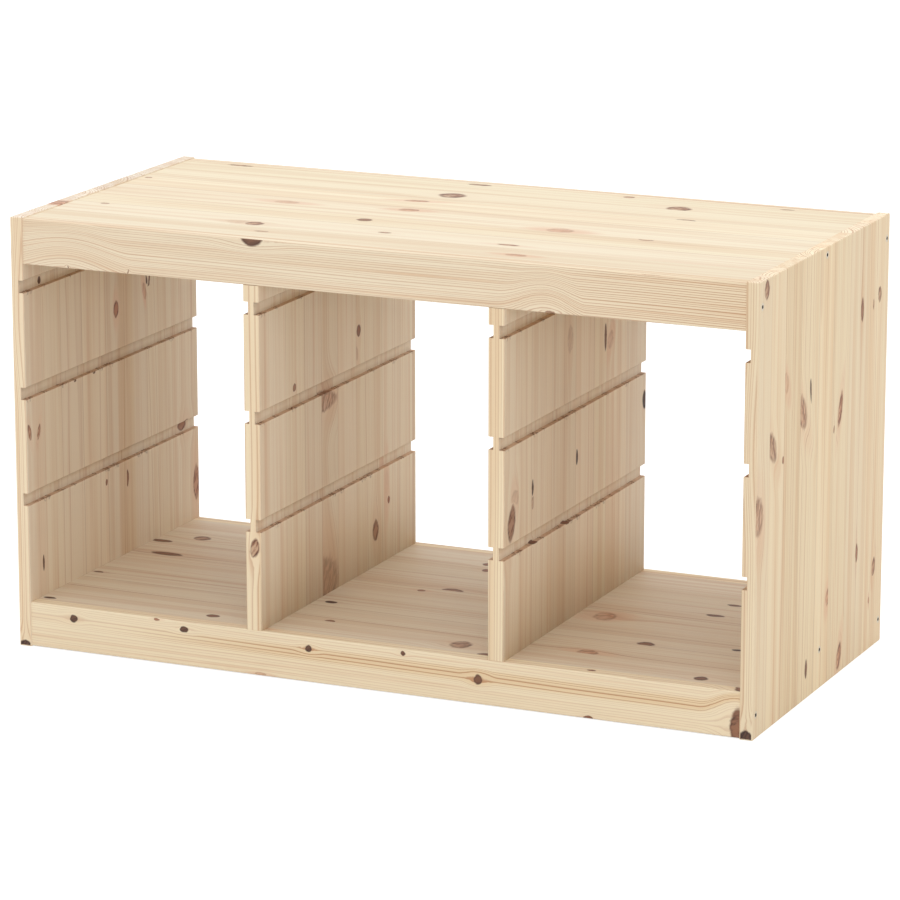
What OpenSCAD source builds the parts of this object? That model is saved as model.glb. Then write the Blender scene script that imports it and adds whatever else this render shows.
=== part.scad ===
// Low toy storage frame with three open bays, in edge-glued solid pine.
// Two side panels hold an upper and a lower frame. Each frame is a board
// with a rail glued along its front edge and one along its rear edge.
// Two dividers stand between the frames. Grooves milled from front to back
// in every upright take the rims of pull-out boxes at three heights.
// X runs to the right, Y to the rear and Z up. The origin is under the
// middle of the frame, on the floor.

/* [Overall] */
// Width over the outer faces of the two side panels
body_w = 930; // [760:10:1200]
// Depth of the side panels, from front edge to rear edge
body_d = 440; // [380:10:520]
// Height of the side panels
body_h = 520; // [470:5:640]

/* [Boards] */
// Thickness of a side panel
side_t = 16; // [14:1:20]
// Thickness of a divider
divider_t = 20; // [17:1:26]
// Thickness of the top panel and the bottom panel
panel_t = 16; // [14:1:20]
// Thickness of the four rails
rail_t = 16; // [14:1:22]
// Height of the four rails
rail_h = 54; // [44:1:70]

/* [Edges] */
// Rounding of the edges that hands touch
arris_r = 1.5; // [0.5:0.25:2]
// Rounding of the edges that meet at a glued seam
seam_r = 0.3; // [0.1:0.1:0.4]
// Rounding of the groove lips
lip_r = 0.8; // [0.3:0.1:1.2]

/* [Set-backs] */
// How far rails and top stay inside the side panels' front, rear and top edges
reveal = 1.5; // [0.5:0.25:4]
// Gap between the floor and the lower rails
foot_gap = 1; // [0.5:0.25:4]
// How far a divider's rear edge stays inside the side panels' rear edges
divider_back = 6; // [4:0.5:12]

/* [Runner grooves] */
// Number of box heights
groove_count = 3; // [1:1:3]
// Height of a groove
groove_h = 15; // [10:1:20]
// Depth of a groove
groove_depth = 6.5; // [4:0.5:7]
// Distance from one groove to the next
groove_pitch = 128.5; // [100:0.5:132]
// Wood left between the upper rails and the highest groove
groove_drop = 19.5; // [12:0.5:30]

/* [Screws] */
// Diameter of a screw head
head_d = 9; // [8:0.5:11]
// Diameter of a screw shank
shank_d = 5; // [4:0.5:6]
// Length of a screw that holds a side panel
side_screw_len = 50; // [40:1:60]
// Length of a screw that holds a divider from below
divider_screw_len = 45; // [35:1:60]
// Width across flats of the hexagon socket
socket_af = 4; // [3:0.5:5]
// Depth of the hexagon socket
socket_depth = 2.4; // [1.5:0.1:3]
// Distance from the middle of a divider's foot to each of its screws
divider_screw_off = 75; // [50:1:95]

/* [Dowels] */
// Diameter of a dowel
dowel_d = 8; // [6:1:8]
// Length of a dowel
dowel_len = 30; // [25:1:40]
// Length of dowel that is set in the face of a board
dowel_set = 10; // [8:0.5:11]
// Distance from the middle of a rail's end to each of its dowels
rail_dowel_off = 16; // [13:0.5:17]
// Distance from the middle of a board's end to each of its dowels
panel_dowel_off = 130; // [110:1:150]

/* [Fits] */
// Gap round a screw or a dowel in its hole
hole_fit = 0.05; // [0.02:0.01:0.15]
// Gap round a divider's notch where it passes behind a rail
notch_fit = 0.2; // [0.1:0.05:0.5]

/* [Hidden] */
$fn = 48;

// Places across the width
half_w = body_w / 2;
inner_w = body_w - 2 * side_t;
bay_w = (inner_w - 2 * divider_t) / 3;
divider_x = bay_w / 2 + divider_t / 2;

// Places from front to rear
half_d = body_d / 2;
frame_front = -half_d + reveal;
frame_rear = half_d - reveal;
seam_front = frame_front + rail_t;
seam_rear = frame_rear - rail_t;
divider_rear = half_d - divider_back;
rail_front_y = frame_front + rail_t / 2;
rail_rear_y = frame_rear - rail_t / 2;

// Heights
frame_top = body_h - reveal;
upper_rail_z = frame_top - rail_h;
lower_rail_z = foot_gap;
floor_z = lower_rail_z + rail_h;
top_under_z = frame_top - panel_t;
floor_under_z = floor_z - panel_t;
top_groove_z = upper_rail_z - groove_drop - groove_h;
groove_zs = [for (i = [0 : groove_count - 1]) top_groove_z - i * groove_pitch];

// Screw shape
head_h = (head_d - shank_d) / 2 + 1;
head_rim = 0.6;
tip_h = shank_d * 0.6;
tip_d = shank_d * 0.3;
socket_d = socket_af / cos(30);

// Dowel shape
dowel_chamfer = 1;
dowel_end_gap = 0.5;

// Tones
pine = [0.91, 0.82, 0.68];
pine_rail = [0.89, 0.79, 0.64];
pine_divider = [0.87, 0.76, 0.61];
zinc = [0.74, 0.75, 0.77];
beech = [0.80, 0.62, 0.44];

// Keeps what is outside a quarter circle, in the corner at the origin
module corner_waste(r) {
    difference() {
        translate([-1, -1]) square(r + 1);
        translate([r, r]) circle(r);
    }
}

// Section from the origin to [w, h], with one radius for each corner:
// lower left, lower right, upper right, upper left
module board_section(w, h, radii) {
    difference() {
        square([w, h]);
        corner_waste(radii[0]);
        translate([w, 0]) mirror([1, 0]) corner_waste(radii[1]);
        translate([w, h]) rotate(180) corner_waste(radii[2]);
        translate([0, h]) mirror([0, 1]) corner_waste(radii[3]);
    }
}

// A section in X and Z, drawn out along Y from y0 to y1
module along_y(y0, y1) {
    translate([0, y1, 0]) rotate([90, 0, 0]) linear_extrude(y1 - y0) children();
}

// A section in Y and Z, drawn out along X from x0 to x1
module along_x(x0, x1) {
    translate([x0, 0, 0]) rotate([90, 0, 90]) linear_extrude(x1 - x0) children();
}

// Groove section that opens towards -X at x = 0, with its lips rounded
module groove_section() {
    translate([-1, 0]) square([groove_depth + 1, groove_h]);
    translate([0, 0]) mirror([0, 1]) corner_waste(lip_r);
    translate([0, groove_h]) corner_waste(lip_r);
}

// All grooves of one face, opening towards -X
module grooves() {
    for (z = groove_zs) translate([0, z]) groove_section();
}

// Screw with its head's face at z = 0 and its point up
module screw(length) {
    head_r = head_d / 2;
    shank_r = shank_d / 2;
    difference() {
        rotate_extrude() polygon([
            [0, 0], [head_r, 0], [head_r, head_rim], [shank_r, head_h],
            [shank_r, length - tip_h], [tip_d / 2, length], [0, length]
        ]);
        translate([0, 0, -1]) linear_extrude(socket_depth + 1) circle(d = socket_d, $fn = 6);
    }
}

// Hole that takes a screw, head's seat and shank, with its mouth at z = 0
module screw_hole(length) {
    head_r = head_d / 2 + hole_fit;
    shank_r = shank_d / 2 + hole_fit;
    rotate_extrude() polygon([
        [0, -1], [head_r, -1], [head_r, head_rim], [shank_r, head_h],
        [shank_r, length + dowel_end_gap], [0, length + dowel_end_gap]
    ]);
}

// Dowel from z = -dowel_set up, so that z = 0 is the joint
module dowel() {
    r = dowel_d / 2;
    rotate_extrude() translate([0, -dowel_set]) polygon([
        [0, 0], [r - dowel_chamfer, 0], [r, dowel_chamfer],
        [r, dowel_len - dowel_chamfer], [r - dowel_chamfer, dowel_len], [0, dowel_len]
    ]);
}

// Hole that takes a dowel, through both boards
module dowel_hole() {
    depth = dowel_len + 2 * dowel_end_gap;
    translate([0, 0, -dowel_set - dowel_end_gap]) cylinder(d = dowel_d + 2 * hole_fit, h = depth);
}

// The outer face of the left side panel, with +Z into the panel
module at_left_outside(y, z) {
    translate([-half_w, y, z]) rotate([0, 90, 0]) children();
}

// The inner face of the left side panel, with +Z out of the panel
module at_left_inside(y, z) {
    translate([-half_w + side_t, y, z]) rotate([0, 90, 0]) children();
}

// Middle heights of the upper and lower rails and boards
upper_rail_mid = upper_rail_z + rail_h / 2;
lower_rail_mid = lower_rail_z + rail_h / 2;
top_mid = frame_top - panel_t / 2;
floor_mid = floor_z - panel_t / 2;

// Screw places of one frame in the left side panel
module at_left_screws(rail_z, board_z) {
    at_left_outside(rail_front_y, rail_z) children();
    at_left_outside(0, board_z) children();
    at_left_outside(rail_rear_y, rail_z) children();
}

// Dowel places of one frame in the left side panel
module at_left_dowels(rail_z, board_z) {
    for (y = [rail_front_y, rail_rear_y], off = [-rail_dowel_off, rail_dowel_off])
        at_left_inside(y, rail_z + off) children();
    for (off = [-panel_dowel_off, panel_dowel_off])
        at_left_inside(off, board_z) children();
}

module left_screws(rail_z, board_z) {
    at_left_screws(rail_z, board_z) screw(side_screw_len);
}

module left_dowels(rail_z, board_z) {
    at_left_dowels(rail_z, board_z) dowel();
}

// Every hole that the left side panel's fasteners need
module left_side_holes() {
    at_left_screws(upper_rail_mid, top_mid) screw_hole(side_screw_len);
    at_left_screws(lower_rail_mid, floor_mid) screw_hole(side_screw_len);
    at_left_dowels(upper_rail_mid, top_mid) dowel_hole();
    at_left_dowels(lower_rail_mid, floor_mid) dowel_hole();
}

module side_holes() {
    left_side_holes();
    mirror([1, 0, 0]) left_side_holes();
}

// Places of one divider's fasteners, along its depth
module at_divider(x, z, offsets) {
    for (off = offsets) translate([x, off, z]) children();
}

dowel_offs = [-panel_dowel_off, panel_dowel_off];
screw_offs = [-divider_screw_off, divider_screw_off];

module divider_screws(x) {
    at_divider(x, floor_under_z, screw_offs) screw(divider_screw_len);
}

module divider_foot_dowels(x) {
    at_divider(x, floor_z, dowel_offs) dowel();
}

module divider_top_dowels(x) {
    at_divider(x, top_under_z, dowel_offs) mirror([0, 0, 1]) dowel();
}

module divider_foot_holes(x) {
    at_divider(x, floor_under_z, screw_offs) screw_hole(divider_screw_len);
    at_divider(x, floor_z, dowel_offs) dowel_hole();
}

module divider_top_holes(x) {
    at_divider(x, top_under_z, dowel_offs) mirror([0, 0, 1]) dowel_hole();
}

// One side panel, at the left, with its grooves towards the bays
module side_panel_board() {
    outer = -half_w;
    round_all = [arris_r, arris_r, arris_r, arris_r];
    difference() {
        intersection() {
            along_y(-half_d, half_d) difference() {
                translate([outer, 0]) board_section(side_t, body_h, round_all);
                translate([outer + side_t, 0]) mirror([1, 0]) grooves();
            }
            translate([outer, -half_d, 0]) linear_extrude(body_h)
                board_section(side_t, body_d, round_all);
            along_x(outer, outer + side_t) translate([-half_d, 0])
                board_section(body_d, body_h, round_all);
        }
        left_side_holes();
    }
}

// One divider, centred on x, with grooves on both faces and a notch
// at each upper corner that lets it pass behind the upper rails
module divider_board(x) {
    height = top_under_z - floor_z;
    depth = divider_rear - frame_front;
    notch = rail_t + notch_fit;
    notch_z = upper_rail_z - notch_fit;
    round_edges = [arris_r, arris_r, arris_r, arris_r];
    half_t = divider_t / 2;
    difference() {
        intersection() {
            along_y(frame_front, divider_rear) difference() {
                translate([x - half_t, floor_z]) square([divider_t, height]);
                translate([x - half_t, 0]) grooves();
                translate([x + half_t, 0]) mirror([1, 0]) grooves();
            }
            translate([x - half_t, frame_front, 0]) linear_extrude(body_h)
                board_section(divider_t, depth, round_edges);
        }
        translate([x - divider_t, frame_front - 1, notch_z])
            cube([2 * divider_t, notch + 1, body_h]);
        translate([x - divider_t, frame_rear - notch, notch_z])
            cube([2 * divider_t, notch + 1, body_h]);
        divider_foot_holes(x);
        divider_top_holes(x);
    }
}

// One rail between the side panels, from y0 to the rear, standing on z0.
// Each radius is one corner of its section: lower front, lower rear,
// upper rear, upper front.
module rail_board(y0, z0, radii) {
    difference() {
        along_x(-inner_w / 2, inner_w / 2) translate([y0, z0]) board_section(rail_t, rail_h, radii);
        side_holes();
    }
}

// One board between the rails of a frame, with its top face at z1
module frame_board(z1) {
    seams = [seam_r, seam_r, seam_r, seam_r];
    along_x(-inner_w / 2, inner_w / 2) translate([seam_front, z1 - panel_t])
        board_section(seam_rear - seam_front, panel_t, seams);
}

module left_side_panel() { color(pine) side_panel_board(); }
module right_side_panel() { color(pine) mirror([1, 0, 0]) side_panel_board(); }
module left_divider() { color(pine_divider) divider_board(-divider_x); }
module right_divider() { color(pine_divider) divider_board(divider_x); }

module top_panel() {
    color(pine) difference() {
        frame_board(frame_top);
        side_holes();
        divider_top_holes(-divider_x);
        divider_top_holes(divider_x);
    }
}

module bottom_panel() {
    color(pine) difference() {
        frame_board(floor_z);
        side_holes();
        divider_foot_holes(-divider_x);
        divider_foot_holes(divider_x);
    }
}

module front_upper_rail() {
    color(pine_rail) rail_board(frame_front, upper_rail_z, [arris_r, arris_r, seam_r, arris_r]);
}

module rear_upper_rail() {
    color(pine_rail) rail_board(seam_rear, upper_rail_z, [arris_r, arris_r, arris_r, seam_r]);
}

module front_lower_rail() {
    color(pine_rail) rail_board(frame_front, lower_rail_z, [arris_r, arris_r, seam_r, arris_r]);
}

module rear_lower_rail() {
    color(pine_rail) rail_board(seam_rear, lower_rail_z, [arris_r, arris_r, arris_r, seam_r]);
}

module left_upper_screws() { color(zinc) left_screws(upper_rail_mid, top_mid); }
module right_upper_screws() { color(zinc) mirror([1, 0, 0]) left_screws(upper_rail_mid, top_mid); }
module left_lower_screws() { color(zinc) left_screws(lower_rail_mid, floor_mid); }
module right_lower_screws() { color(zinc) mirror([1, 0, 0]) left_screws(lower_rail_mid, floor_mid); }
module left_divider_screws() { color(zinc) divider_screws(-divider_x); }
module right_divider_screws() { color(zinc) divider_screws(divider_x); }

module left_upper_dowels() { color(beech) left_dowels(upper_rail_mid, top_mid); }
module right_upper_dowels() { color(beech) mirror([1, 0, 0]) left_dowels(upper_rail_mid, top_mid); }
module left_lower_dowels() { color(beech) left_dowels(lower_rail_mid, floor_mid); }
module right_lower_dowels() { color(beech) mirror([1, 0, 0]) left_dowels(lower_rail_mid, floor_mid); }
module left_divider_top_dowels() { color(beech) divider_top_dowels(-divider_x); }
module right_divider_top_dowels() { color(beech) divider_top_dowels(divider_x); }
module left_divider_foot_dowels() { color(beech) divider_foot_dowels(-divider_x); }
module right_divider_foot_dowels() { color(beech) divider_foot_dowels(divider_x); }

left_side_panel();
right_side_panel();
left_divider();
right_divider();
top_panel();
bottom_panel();
front_upper_rail();
rear_upper_rail();
front_lower_rail();
rear_lower_rail();
left_upper_screws();
right_upper_screws();
left_lower_screws();
right_lower_screws();
left_divider_screws();
right_divider_screws();
left_upper_dowels();
right_upper_dowels();
left_lower_dowels();
right_lower_dowels();
left_divider_top_dowels();
right_divider_top_dowels();
left_divider_foot_dowels();
right_divider_foot_dowels();
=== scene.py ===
import math

import bpy
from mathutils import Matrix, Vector


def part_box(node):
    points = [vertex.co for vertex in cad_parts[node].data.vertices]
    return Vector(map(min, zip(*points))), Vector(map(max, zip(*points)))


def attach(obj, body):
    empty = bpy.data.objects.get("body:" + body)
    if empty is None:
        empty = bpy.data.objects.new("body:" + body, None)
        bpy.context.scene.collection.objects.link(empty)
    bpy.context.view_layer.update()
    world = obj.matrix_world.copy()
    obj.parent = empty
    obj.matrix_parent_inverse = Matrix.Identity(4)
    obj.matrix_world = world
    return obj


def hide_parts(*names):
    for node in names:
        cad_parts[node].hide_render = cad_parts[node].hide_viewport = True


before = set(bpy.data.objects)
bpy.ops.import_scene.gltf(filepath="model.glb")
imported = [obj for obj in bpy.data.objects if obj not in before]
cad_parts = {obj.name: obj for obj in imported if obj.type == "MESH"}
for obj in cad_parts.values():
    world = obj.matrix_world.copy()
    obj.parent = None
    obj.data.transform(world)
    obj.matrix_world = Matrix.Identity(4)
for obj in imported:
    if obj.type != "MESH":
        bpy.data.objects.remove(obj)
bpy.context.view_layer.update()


# Side panels: two upright boards of edge-glued pine, planed, sanded and left bare. Their grain
# stands upright, and three runner grooves are milled across it from front to back. Screws and
# dowels through them hold the upper and the lower frame.

MM = 0.001


def paint(red, green, blue):
    """A colour as it is seen on the board, from 0 to 255, as the shader wants it."""
    seen = [part / 255 for part in (red, green, blue)]
    return [s / 12.92 if s <= 0.04045 else ((s + 0.055) / 1.055) ** 2.4 for s in seen] + [1]


class Wire:
    """What comes out of a node. It stands in a sum as a plain number would."""

    def __init__(self, socket):
        self.socket = socket

    def __add__(self, other):
        return calc("ADD", self, other)

    def __sub__(self, other):
        return calc("SUBTRACT", self, other)

    def __rsub__(self, other):
        return calc("SUBTRACT", other, self)

    def __mul__(self, other):
        return calc("MULTIPLY", self, other)

    def __truediv__(self, other):
        return calc("DIVIDE", self, other)

    def __pow__(self, other):
        return calc("POWER", self, other)

    def __gt__(self, other):
        return calc("GREATER_THAN", self, other)

    def __lt__(self, other):
        return calc("LESS_THAN", self, other)

    def __neg__(self):
        return self * -1.0

    def __abs__(self):
        return calc("ABSOLUTE", self)


def home(sources):
    """The tree that the first wire among some sources is in."""
    return next(source.socket.id_data for source in sources if isinstance(source, Wire))


def put(tree, kind, sources, **settings):
    """One node, with its settings, and each input set, or joined to a wire."""
    node = tree.nodes.new(kind)
    for name, setting in settings.items():
        setattr(node, name, setting)
    for name, source in sources.items():
        join(source, node.inputs[name])
    return node


def join(source, socket):
    """Joins a wire to a socket, or sets the socket to a plain value."""
    if isinstance(source, Wire):
        socket.id_data.links.new(source.socket, socket)
    else:
        socket.default_value = source


def wire(kind, sources, out=0, tree=None, **settings):
    """What comes out of a new node. Its tree is needed only where it has no wire to start from."""
    return Wire(put(tree or home(sources.values()), kind, sources, **settings).outputs[out])


def calc(operation, *terms):
    """One sum on wires and plain numbers."""
    return wire("ShaderNodeMath", dict(enumerate(terms)), operation=operation)


def vector(operation, *terms, **more):
    """One sum on places."""
    return wire("ShaderNodeVectorMath", {**dict(enumerate(terms)), **more}, operation=operation)


def length(place):
    """How far a place is from its origin."""
    return wire("ShaderNodeVectorMath", {0: place}, "Value", operation="LENGTH")


def unite(*parts, kind="XYZ"):
    """Three numbers as one place, or as one colour."""
    return wire("ShaderNodeCombine" + kind, dict(enumerate(parts)))


def split(whole, kind="XYZ"):
    """The three numbers of a place, or of a colour."""
    node = put(home([whole]), "ShaderNodeSeparate" + kind, {0: whole})
    return [Wire(output) for output in node.outputs]


def ease(source, start, end, low=0.0, high=1.0):
    """A smooth change from low to high while the source goes from start to end."""
    steps = dict(enumerate((source, start, end, low, high)))
    return wire("ShaderNodeMapRange", steps, interpolation_type="SMOOTHSTEP")


def mix(share, low, high, kind="FLOAT", blend="MIX"):
    """Something between two numbers, two places or two colours."""
    turn = ("FLOAT", "VECTOR", "RGBA").index(kind)
    ends = {0: share, 2 + 2 * turn: low, 3 + 2 * turn: high}
    return wire("ShaderNodeMix", ends, turn, data_type=kind, blend_type=blend)


def tint(amount, first, second, blend="MIX"):
    """One colour laid over another by an amount."""
    return mix(amount, first, second, "RGBA", blend)


def noise(place, detail, out=0, scale=1.0, roughness=0.5, seed=None):
    """Soft noise at a place, and another for each seed."""
    sources = {"Vector": place, "Scale": scale, "Detail": detail, "Roughness": roughness}
    if seed is None:
        return wire("ShaderNodeTexNoise", sources, out)
    return wire("ShaderNodeTexNoise", {**sources, "W": seed}, out, noise_dimensions="4D")


def chance(key, out=0):
    """A number or a colour by chance, always the same for the same key."""
    return wire("ShaderNodeTexWhiteNoise", {"W": key}, out, noise_dimensions="1D")


def open_tree(name, takes, kind="ShaderNodeTree"):
    """A new tree's named inputs, as wires: a number, a count, a place or a material for each."""
    tree = bpy.data.node_groups.new(name, kind)
    kinds = {float: "Float", int: "Int", tuple: "Vector"}
    for label, start in takes.items():
        socket_type = "NodeSocket" + kinds.get(type(start), "Material")
        socket = tree.interface.new_socket(label, in_out="INPUT", socket_type=socket_type)
        if start is not None:
            socket.default_value = start
    given = put(tree, "NodeGroupInput", {}).outputs
    return {label: Wire(given[label]) for label in takes}


def close_tree(made):
    """Gives a tree its named outputs, and ends it."""
    tree = home(made.values())
    kinds = {"VALUE": "Float", "VECTOR": "Vector", "GEOMETRY": "Geometry"}
    for label, result in made.items():
        socket_type = "NodeSocket" + kinds[result.socket.type]
        tree.interface.new_socket(label, in_out="OUTPUT", socket_type=socket_type)
    put(tree, "NodeGroupOutput", made)
    return tree


def use(group, sources):
    """A group placed in a material, with its own values, and what comes out of it."""
    node = put(home(sources.values()), "ShaderNodeGroup", sources, node_tree=group)
    return {output.name: Wire(output) for output in node.outputs}


def open_material(name):
    """An empty material, and its tree."""
    material = bpy.data.materials.new(name)
    material.use_nodes = True
    material.node_tree.nodes.clear()
    return material, material.node_tree


def on_object(tree):
    """Where a point is in its object."""
    return wire("ShaderNodeTexCoord", {}, "Object", tree)


def close_material(kind, sources):
    """Ends a material with its one shader."""
    skin = wire(kind, sources)
    put(home([skin]), "ShaderNodeOutputMaterial", {"Surface": skin})


def make_knot_group():
    """One branch sawn across. It bends the grain round itself, and adds to the knots before it."""
    given = open_tree("knot", {
        "Place": (0, 0, 0), "Centre": (0, 0, 0), "Size": (10, 6, 0.01), "Turn": 0.0, "Redness": 0.5,
        "Weight": 1.0, "Nearest": 9.0, "Blush": 0.0, "Knot Place": (0, 0, 0)})
    local = wire("ShaderNodeMapping", {
        "Vector": given["Place"], "Location": given["Centre"], "Scale": given["Size"],
        "Rotation": unite(0.0, 0.0, given["Turn"])}, vector_type="TEXTURE")
    along, across, stave = split(vector("ABSOLUTE", local))
    distance = calc("SQRT", along ** 2.0 + across ** 1.6) + stave
    reach = length(vector("MULTIPLY", local, (0.5, 1, 1)))
    hold = ease(reach, 2.5, 0.4) * ease(given["Weight"], 0.0, 1.0, -0.6, -0.85)
    sideways = vector("MULTIPLY", local, given["Size"])
    push = vector("SCALE", sideways, Scale=hold)
    own = vector("MULTIPLY_ADD", sideways, (1, 1, 0), unite(0.0, 0.0, given["Weight"]))
    halo = ease(reach, 1.7, 0.75) * given["Redness"]
    return close_tree({
        "Bent Place": vector("MULTIPLY_ADD", push, (0, 1, 0), given["Place"]),
        "Nearest": calc("MINIMUM", given["Nearest"], distance),
        "Blush": calc("MAXIMUM", given["Blush"], halo),
        "Knot Place": mix(distance < given["Nearest"], given["Knot Place"], own, "VECTOR")})


def make_ring_group():
    """Growth rings round a pith: pale spring wood that darkens to summer wood, and stops short."""
    given = open_tree("growth_rings", {
        "Place": (0, 0, 0), "Pith": (0, 0, -40), "Ring Width": 3.5, "Wander": 7.0, "Evenness": 0.0,
        "Seed": 0.0})
    slow = vector("MULTIPLY", given["Place"], (0.0022, 0.016, 0.016))
    wander = noise(slow, detail=2.0, out="Color", roughness=0.45, seed=given["Seed"])
    drift = vector("SUBTRACT", wander, (0.5, 0.5, 0.5))
    bend = split(vector("SCALE", drift, Scale=given["Wander"]))
    along, across, depth = split(given["Place"])
    lean, pith_across, pith_depth = split(given["Pith"])
    across = across - pith_across + bend[1] + along * lean
    depth = depth - pith_depth + bend[2]
    radius = length(unite(0.0, across, depth))
    uneven = wire("ShaderNodeTexNoise", {
        "W": radius * 0.11 + given["Seed"], "Scale": 1.0, "Detail": 1.0}, noise_dimensions="1D")
    years = uneven * 1.4 + radius / given["Ring Width"]
    season = calc("FRACT", years)
    ring = ease(season, 0.6, 0.92) * ease(season, 1.0, 0.94)
    year = chance(calc("FLOOR", years) + given["Seed"])
    strength = mix(given["Evenness"], year ** 4.0 * 1.1 + 0.12, 0.75)
    return close_tree({"Latewood": ring * strength, "Cut End": ring})


def make_fibre_group():
    """Fine streaks along the grain, and broad bands where sap or resin has tinted the wood."""
    given = open_tree("fibres", {"Place": (0, 0, 0), "Seed": 0.0})

    def stretched(along, side, detail, shift):
        place = vector("MULTIPLY", given["Place"], (along, side, side))
        return noise(place, detail, roughness=0.6, seed=given["Seed"] + shift)

    return close_tree({
        "Streak": stretched(along=0.02, side=0.9, detail=3.0, shift=0.0),
        "Line": stretched(along=0.002, side=0.22, detail=3.0, shift=9.0),
        "Band": stretched(along=0.0012, side=0.07, detail=1.0, shift=5.0)})


def make_stave_group():
    """What one stave of a glued board was sawn from: its pith and how wide its rings are."""
    given = open_tree("stave_timber", {"Stave": 0.0, "Middle": 0.0, "Seed": 0.0})
    key = calc("MULTIPLY_ADD", given["Stave"], 1.37, given["Seed"])
    aside, warmth, deep = split(chance(key, "Color"), "Color")
    lean, ring_width, tone = split(chance(key + 51.0, "Color"), "Color")
    offset = aside * 100.0 - 50.0 + ((aside > 0.5) * 20.0 - 10.0)
    depth = ((warmth > 0.5) * 2.0 - 1.0) * (deep * 30.0 + 22.0)
    return close_tree({
        "Pith": unite(lean * 0.05 - 0.025, given["Middle"] + offset, depth),
        "Ring Width": ring_width * 1.5 + 2.6, "Tone": tone, "Warmth": warmth})


knot_group = make_knot_group()
ring_group = make_ring_group()
fibre_group = make_fibre_group()
stave_group = make_stave_group()

SPRING_WOOD = paint(240, 221, 189)
SUMMER_WOOD = paint(200, 158, 124)
SAWN_WOOD = paint(254, 240, 214)
# Rough milled end grain, also laid on the faces that look down under the groove lips as painted shade.
MILLED_WOOD_AND_LIP_SHADE = paint(224, 190, 154)
MILLED_LINE_AND_LIP_SHADE = paint(132, 98, 74)
PINK_BAND = paint(247, 239, 233)
PINK_LINE = paint(240, 222, 211)
WARM_BAND = paint(248, 240, 229)
GLUE_LINE = paint(188, 150, 116)
KNOT_HEART = paint(162, 114, 86)
KNOT_RED = paint(196, 126, 92)
KNOT_DARK = paint(66, 50, 46)
KNOT_BLUSH = paint(224, 172, 140)
# The outer staves go on past the board's edges, so that no glue line shows there.
SPARE_BOARD = 20
# The ramp holds a stave's number as a share of this many.
MOST_STAVES = 32


def sort_staves(across, seams, start, end, seed):
    """Which stave a point is in, from 0, how much glue shows there, and the stave's timber."""
    width = end - start
    share = wire("ShaderNodeMapRange", {0: across, 1: start, 2: end})
    ramp = put(home([share]), "ShaderNodeValToRGB", {0: share})
    ramp.color_ramp.interpolation = "CONSTANT"
    steps = ramp.color_ramp.elements
    for turn, (low, high) in enumerate(zip([start, *seams], [*seams, end])):
        place = (low - start) / width
        step = steps[turn] if turn < 2 else steps.new(place)
        step.position = place
        middle = ((low + high) / 2 - start) / width
        step.color = (turn / MOST_STAVES, middle, (high - low) / width, 1)
    stave, middle, broad = split(Wire(ramp.outputs[0]), "Color")
    stave = stave * MOST_STAVES
    middle = middle * width + start
    glue = ease(broad * (width / 2) - abs(across - middle), 0.45, 0.1)
    return stave, glue, use(stave_group, {"Stave": stave, "Middle": middle, "Seed": seed})


def bend_round(knots, edge_knots, seams, spot):
    """Every knot in turn, from a point on the board's face. Gives what the last one makes."""
    made = {"Bent Place": spot, "Nearest": 9.0, "Blush": 0.0, "Knot Place": (0, 0, 0)}
    for knot in [*knots, *edge_knots]:
        along, across, half_length, half_width, turn, redness, weight = knot
        stave = -2 if knot in edge_knots else sum(seam <= across for seam in seams)
        made = use(knot_group, {
            "Place": made["Bent Place"], "Centre": (along, across, stave),
            "Size": (half_length, half_width, 0.01), "Turn": math.radians(turn), "Redness": redness,
            "Weight": weight, "Nearest": made["Nearest"], "Blush": made["Blush"],
            "Knot Place": made["Knot Place"]})
    return made


def show_milling_and_lip_shade(colour, place, upright, on_edge, milled):
    """Rough end grain and painted shade under the lips in the grooves, and the chips the cutter left at
    the lips.
    """
    lowest, pitch, grooved_side = milled
    height, _, thickness = split(place)
    near = abs(height - (lowest + 1.06 * pitch)) < 1.17 * pitch
    torn = noise(vector("MULTIPLY", place, (0.12, 0.5, 0.3)), detail=2.0)
    patchy = noise(vector("MULTIPLY", place, (0.01, 0.05, 0.02)), detail=1.0)
    above = calc("WRAP", height, lowest + pitch / 2, lowest - pitch / 2) - lowest
    chipped = ease(above - ease(patchy, 0.5, 0.66, 0.5, -4.5), 0.0, 1.5) * ease(above, 0.9, 0.4)
    chipped = chipped * ease(torn, 0.48, 0.6, 0.0, 0.5) * (1.0 - on_edge)
    chipped = chipped * (thickness * grooved_side > -0.5)
    torn = ease(torn, 0.42, 0.62) * ease(patchy, 0.42, 0.62, 0.15, 1.0)
    # Faces that look up or down by the grooves take the milled colours: rough end grain on the ledges,
    # painted shade on the faces under each lip.
    colour = tint(ease(upright, 0.25, 0.8) * near, colour, tint(torn, MILLED_WOOD_AND_LIP_SHADE, MILLED_LINE_AND_LIP_SHADE))
    return tint(chipped * near, colour, MILLED_LINE_AND_LIP_SHADE)


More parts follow.
